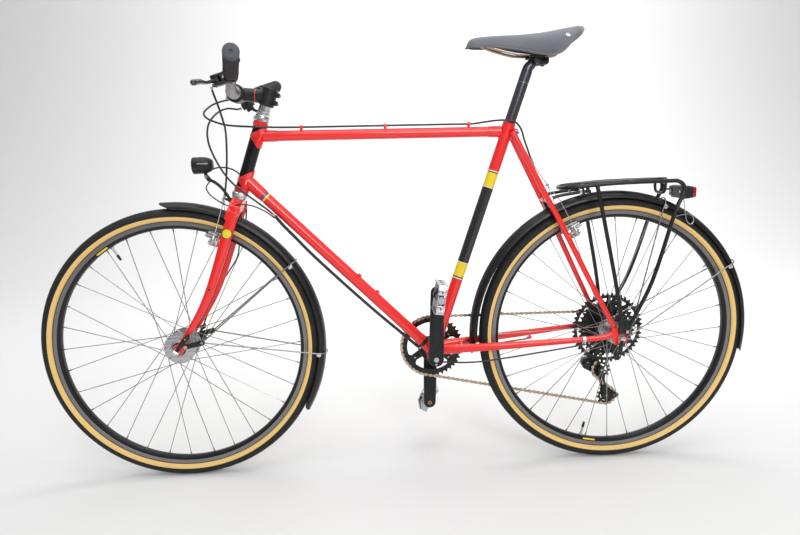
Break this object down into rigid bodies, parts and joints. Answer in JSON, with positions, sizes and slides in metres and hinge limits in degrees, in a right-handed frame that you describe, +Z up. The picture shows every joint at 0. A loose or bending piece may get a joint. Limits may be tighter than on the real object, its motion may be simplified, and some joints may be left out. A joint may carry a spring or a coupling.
{
  "type": "road bike",
  "caption": "Road bicycle: lugged diamond frame, flat handlebar, cantilever brakes, derailleur gears, spoked wheels, mudguards, rear rack and lights, all on real joints.",
  "frame": {"origin": "where the rear tyre meets the ground, on the centre plane, in the wheel stand that holds the bicycle up", "axes": "+X towards the rear, +Y to the rider's right, +Z up; the bicycle faces -X"},
  "size_m": [1.8208, 0.6178, 1.112],
  "materials": {
    "red_paint": "gloss",
    "black_paint": "satin",
    "silver": "polished",
    "steel": "satin",
    "rim_metal": "satin",
    "bar_metal": "satin",
    "black_metal": "satin",
    "black_plastic": "satin",
    "cable_sheath": "satin",
    "chain_steel": "satin",
    "grip_rubber": "matte",
    "tyre_rubber": "matte",
    "saddle_leather": "satin",
    "red_lens": "gloss"
  },
  "bodies": {
    "frame": {"head_tube": "black_paint", "top_tube": "red_paint", "down_tube": "red_paint", "seat_tube": "red_paint", "left_chain_stay": "red_paint", "right_chain_stay": "red_paint", "left_seat_stay": "red_paint", "right_seat_stay": "red_paint", "upper_headset_cup": "silver", "lower_headset_cup": "silver", "rear_fender": "black_plastic", "rear_fender_stays": "steel", "rack": "black_paint", "tail_light": "red_lens", "derailleur_knuckle": "black_paint", "rear_axle": "steel", "rear_brake_cable": "cable_sheath", "shift_and_light_cables": "cable_sheath", "chain": "chain_steel"},
    "seat": {"seatpost": "black_paint", "saddle": "saddle_leather"},
    "steering": {"fork": "red_paint", "stem_adapter": "silver", "stem": "black_paint", "handlebar": "bar_metal", "left_grip": "grip_rubber", "right_grip": "grip_rubber", "left_lever_body": "black_plastic", "right_lever_body": "black_plastic", "front_fender": "black_plastic", "front_fender_stays": "steel", "headlight_bracket": "black_paint", "front_axle": "steel", "front_brake_cable": "cable_sheath"},
    "lamp": {"headlight": "black_plastic"},
    "left_lever": {"left_brake_lever": "black_metal"},
    "right_lever": {"right_brake_lever": "black_metal"},
    "thumb_lever": {"shift_lever": "black_plastic"},
    "front_left_arm": {"front_left_brake_arm": "silver"},
    "front_right_arm": {"front_right_brake_arm": "silver"},
    "rear_left_arm": {"rear_left_brake_arm": "silver"},
    "rear_right_arm": {"rear_right_brake_arm": "silver"},
    "front_wheel": {"front_tyre": "tyre_rubber", "front_rim": "rim_metal", "front_hub": "silver"},
    "rear_wheel": {"rear_tyre": "tyre_rubber", "rear_rim": "rim_metal", "rear_hub": "silver"},
    "sprockets": {"cassette": "black_metal"},
    "crankset": {"left_crank": "black_metal", "right_crank": "black_metal", "chainring": "black_metal"},
    "left_pedal_body": {"left_pedal": "silver"},
    "right_pedal_body": {"right_pedal": "silver"},
    "gear_arm": {"derailleur_arm": "black_paint"},
    "gear_cage": {"derailleur_cage": "black_paint"},
    "upper_pulley": {"guide_pulley": "black_plastic"},
    "lower_pulley": {"tension_pulley": "black_plastic"},
    "front_release": {"front_qr_lever": "silver"},
    "rear_release": {"rear_qr_lever": "black_paint"}
  },
  "joints": [
    {"name": "steering", "type": "hinge", "parent": "frame", "child": "steering", "pos_m": [-0.91152, 0, 0.80927], "axis": [0.3305, 0, 0.9438], "range_deg": [-60, 60], "deforming": ["rear_brake_cable", "shift_and_light_cables"]},
    {"name": "front_wheel_spin", "type": "hinge", "parent": "steering", "child": "front_wheel", "pos_m": [-1.11, 0, 0.349], "axis": [0, -1, 0], "continuous": true},
    {"name": "rear_wheel_spin", "type": "hinge", "parent": "frame", "child": "rear_wheel", "pos_m": [0, 0, 0.349], "axis": [0, -1, 0], "continuous": true},
    {"name": "crank_spin", "type": "hinge", "parent": "frame", "child": "crankset", "pos_m": [-0.469, 0, 0.311], "axis": [0, -1, 0], "continuous": true},
    {"name": "sprocket_spin", "type": "hinge", "parent": "frame", "child": "sprockets", "pos_m": [0, 0, 0.349], "axis": [0, -1, 0], "continuous": true},
    {"name": "left_pedal_spin", "type": "hinge", "parent": "crankset", "child": "left_pedal_body", "pos_m": [-0.46455, -0.127, 0.48094], "axis": [0, -1, 0], "continuous": true},
    {"name": "right_pedal_spin", "type": "hinge", "parent": "crankset", "child": "right_pedal_body", "pos_m": [-0.47345, 0.127, 0.14106], "axis": [0, -1, 0], "continuous": true},
    {"name": "seatpost_height", "type": "slide", "parent": "frame", "child": "seat", "axis": [0.3223, 0, 0.9466], "range_m": [-0.08, 0.03]},
    {"name": "headlight_tilt", "type": "hinge", "parent": "steering", "child": "lamp", "pos_m": [-1.019, 0, 0.7732], "axis": [0, 1, 0], "range_deg": [-20, 20]},
    {"name": "left_brake_squeeze", "type": "hinge", "parent": "steering", "child": "left_lever", "pos_m": [-0.939, -0.18, 0.977], "axis": [-0.4637, 0.0962, 0.8807], "range_deg": [0, 25], "stiffness_Nm_per_rad": 0.6, "deforming": ["front_brake_cable"]},
    {"name": "right_brake_squeeze", "type": "hinge", "parent": "steering", "child": "right_lever", "pos_m": [-0.939, 0.18, 0.977], "axis": [0.4637, 0.0962, -0.8807], "range_deg": [0, 25], "stiffness_Nm_per_rad": 0.6, "deforming": ["rear_brake_cable"]},
    {"name": "shift_lever_push", "type": "hinge", "parent": "steering", "child": "thumb_lever", "pos_m": [-0.92413, 0.11901, 0.94075], "axis": [-0.4637, -0.0962, 0.8807], "range_deg": [0, 20], "stiffness_Nm_per_rad": 0.3},
    {"name": "front_left_brake_swing", "type": "hinge", "parent": "steering", "child": "front_left_arm", "pos_m": [-0.99249, -0.0475, 0.61194], "axis": [-0.9438, 0, 0.3305], "range_deg": [0, 4.5], "deforming": ["front_brake_cable"]},
    {"name": "front_right_brake_swing", "type": "hinge", "parent": "steering", "child": "front_right_arm", "pos_m": [-0.99249, 0.0475, 0.61194], "axis": [0.9438, 0, -0.3305], "range_deg": [0, 4.5], "deforming": ["front_brake_cable"]},
    {"name": "rear_left_brake_swing", "type": "hinge", "parent": "frame", "child": "rear_left_arm", "pos_m": [-0.1248, -0.043, 0.60864], "axis": [-0.8949, 0, -0.4463], "range_deg": [0, 4.5], "deforming": ["rear_brake_cable"]},
    {"name": "rear_right_brake_swing", "type": "hinge", "parent": "frame", "child": "rear_right_arm", "pos_m": [-0.1248, 0.043, 0.60864], "axis": [0.8949, 0, 0.4463], "range_deg": [0, 4.5], "deforming": ["rear_brake_cable"]},
    {"name": "derailleur_shift", "type": "hinge", "parent": "frame", "child": "gear_arm", "pos_m": [-0.0055, 0.0753, 0.294], "axis": [0.8333, 0, -0.5529], "range_deg": [-6, 5], "stiffness_Nm_per_rad": 5, "deforming": ["chain"]},
    {"name": "derailleur_tension", "type": "hinge", "parent": "gear_arm", "child": "gear_cage", "pos_m": [-0.04, 0.06, 0.242], "axis": [0, 1, 0], "range_deg": [-18, 18], "stiffness_Nm_per_rad": 1, "deforming": ["chain"]},
    {"name": "guide_pulley_spin", "type": "hinge", "parent": "gear_cage", "child": "upper_pulley", "pos_m": [-0.006, 0.042, 0.227], "axis": [0, -1, 0], "continuous": true},
    {"name": "tension_pulley_spin", "type": "hinge", "parent": "gear_cage", "child": "lower_pulley", "pos_m": [0.0105, 0.042, 0.153], "axis": [0, -1, 0], "continuous": true},
    {"name": "front_release_swing", "type": "hinge", "parent": "steering", "child": "front_release", "pos_m": [-1.11, -0.0649, 0.349], "axis": [0.7779, 0, -0.6283], "range_deg": [0, 140]},
    {"name": "rear_release_swing", "type": "hinge", "parent": "frame", "child": "rear_release", "pos_m": [0, -0.0799, 0.349], "axis": [-0.9806, 0, 0.1961], "range_deg": [0, 140]}
  ],
  "couplings": [
    {"joint": "sprocket_spin", "follows": "crank_spin", "ratio": 1.9048},
    {"joint": "guide_pulley_spin", "follows": "crank_spin", "ratio": -3.3333},
    {"joint": "tension_pulley_spin", "follows": "crank_spin", "ratio": 3.3333},
    {"joint": "front_left_brake_swing", "follows": "left_brake_squeeze", "ratio": 0.18},
    {"joint": "front_right_brake_swing", "follows": "left_brake_squeeze", "ratio": 0.18},
    {"joint": "rear_left_brake_swing", "follows": "right_brake_squeeze", "ratio": 0.18},
    {"joint": "rear_right_brake_swing", "follows": "right_brake_squeeze", "ratio": 0.18}
  ]
}
